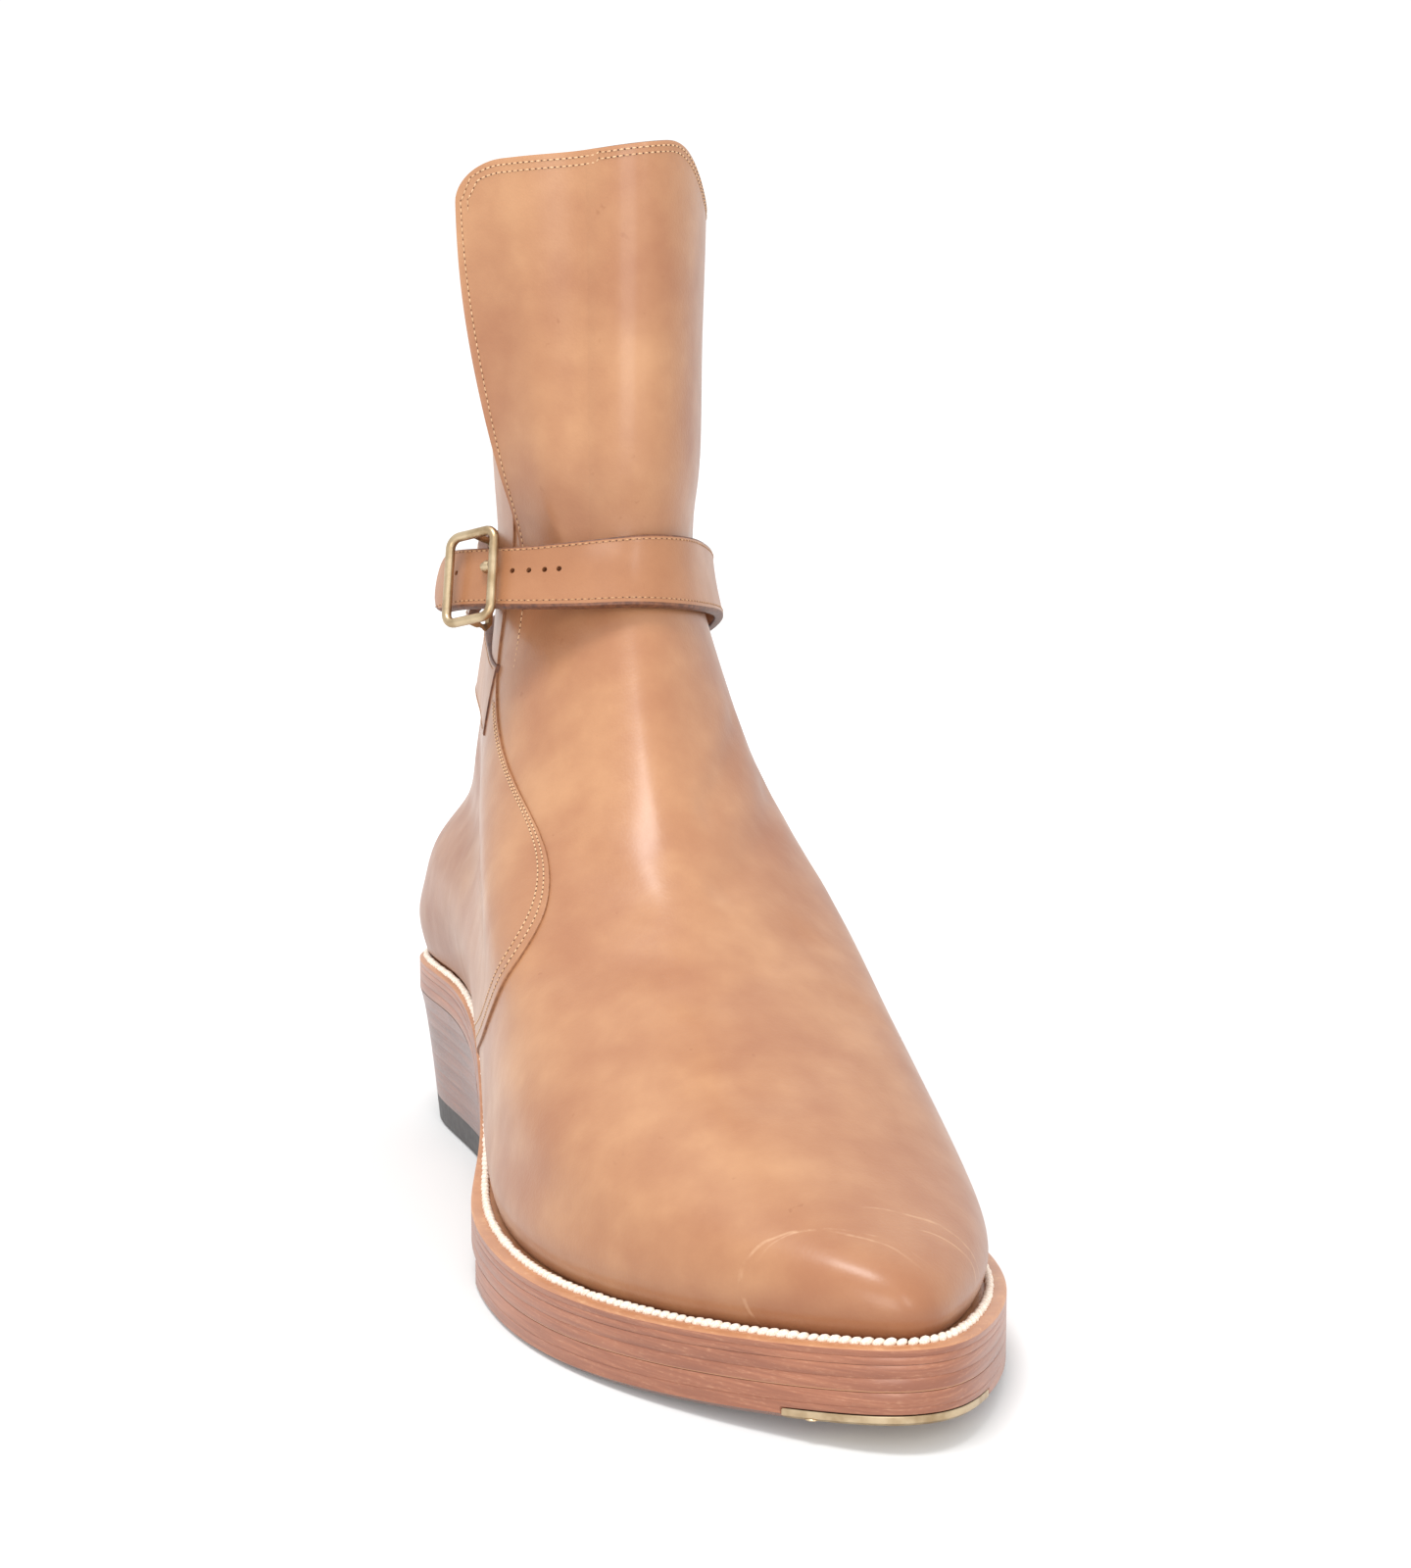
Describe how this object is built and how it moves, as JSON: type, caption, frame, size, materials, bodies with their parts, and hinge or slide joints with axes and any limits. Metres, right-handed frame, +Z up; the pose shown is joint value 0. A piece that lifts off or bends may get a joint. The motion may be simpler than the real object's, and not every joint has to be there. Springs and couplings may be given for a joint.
{
  "type": "jodhpur boot",
  "caption": "Leather jodhpur boot with a wrap strap and buckle round the ankle, an overlapping front flap, an embroidered back strip and a stacked leather heel.",
  "frame": {"origin": "middle of the boot's box at ground level", "axes": "+Z up, toe toward -Y, heel toward +Y, big-toe side toward +X, little-toe side toward -X"},
  "size_m": [0.1012, 0.3022, 0.2514],
  "materials": {
    "upper_leather": "satin",
    "strap_leather": "satin",
    "strip_leather": "satin",
    "insole_leather": "matte",
    "edge_leather": "satin",
    "sole_leather": "satin",
    "half_sole_leather": "gloss",
    "heel_leather": "satin",
    "heel_rubber": "matte",
    "brass": "satin"
  },
  "bodies": {
    "root": {"upper": "upper_leather", "back_strip": "strip_leather", "wrap_strap": "strap_leather", "buckle_strap": "strap_leather", "buckle": "brass", "buckle_stud": "brass", "insole": "insole_leather", "welt": "edge_leather", "midsole": "sole_leather", "half_sole": "half_sole_leather", "toe_plate": "brass", "heel_lift_1": "heel_leather", "heel_lift_2": "heel_leather", "heel_lift_3": "heel_leather", "heel_lift_4": "heel_leather", "heel_lift_5": "heel_leather", "heel_lift_6": "heel_leather", "heel_lift_7": "heel_leather", "top_lift": "heel_rubber", "top_lift_plug_1": "heel_rubber", "top_lift_plug_2": "heel_rubber", "top_lift_plug_3": "heel_rubber"}
  },
  "joints": []
}
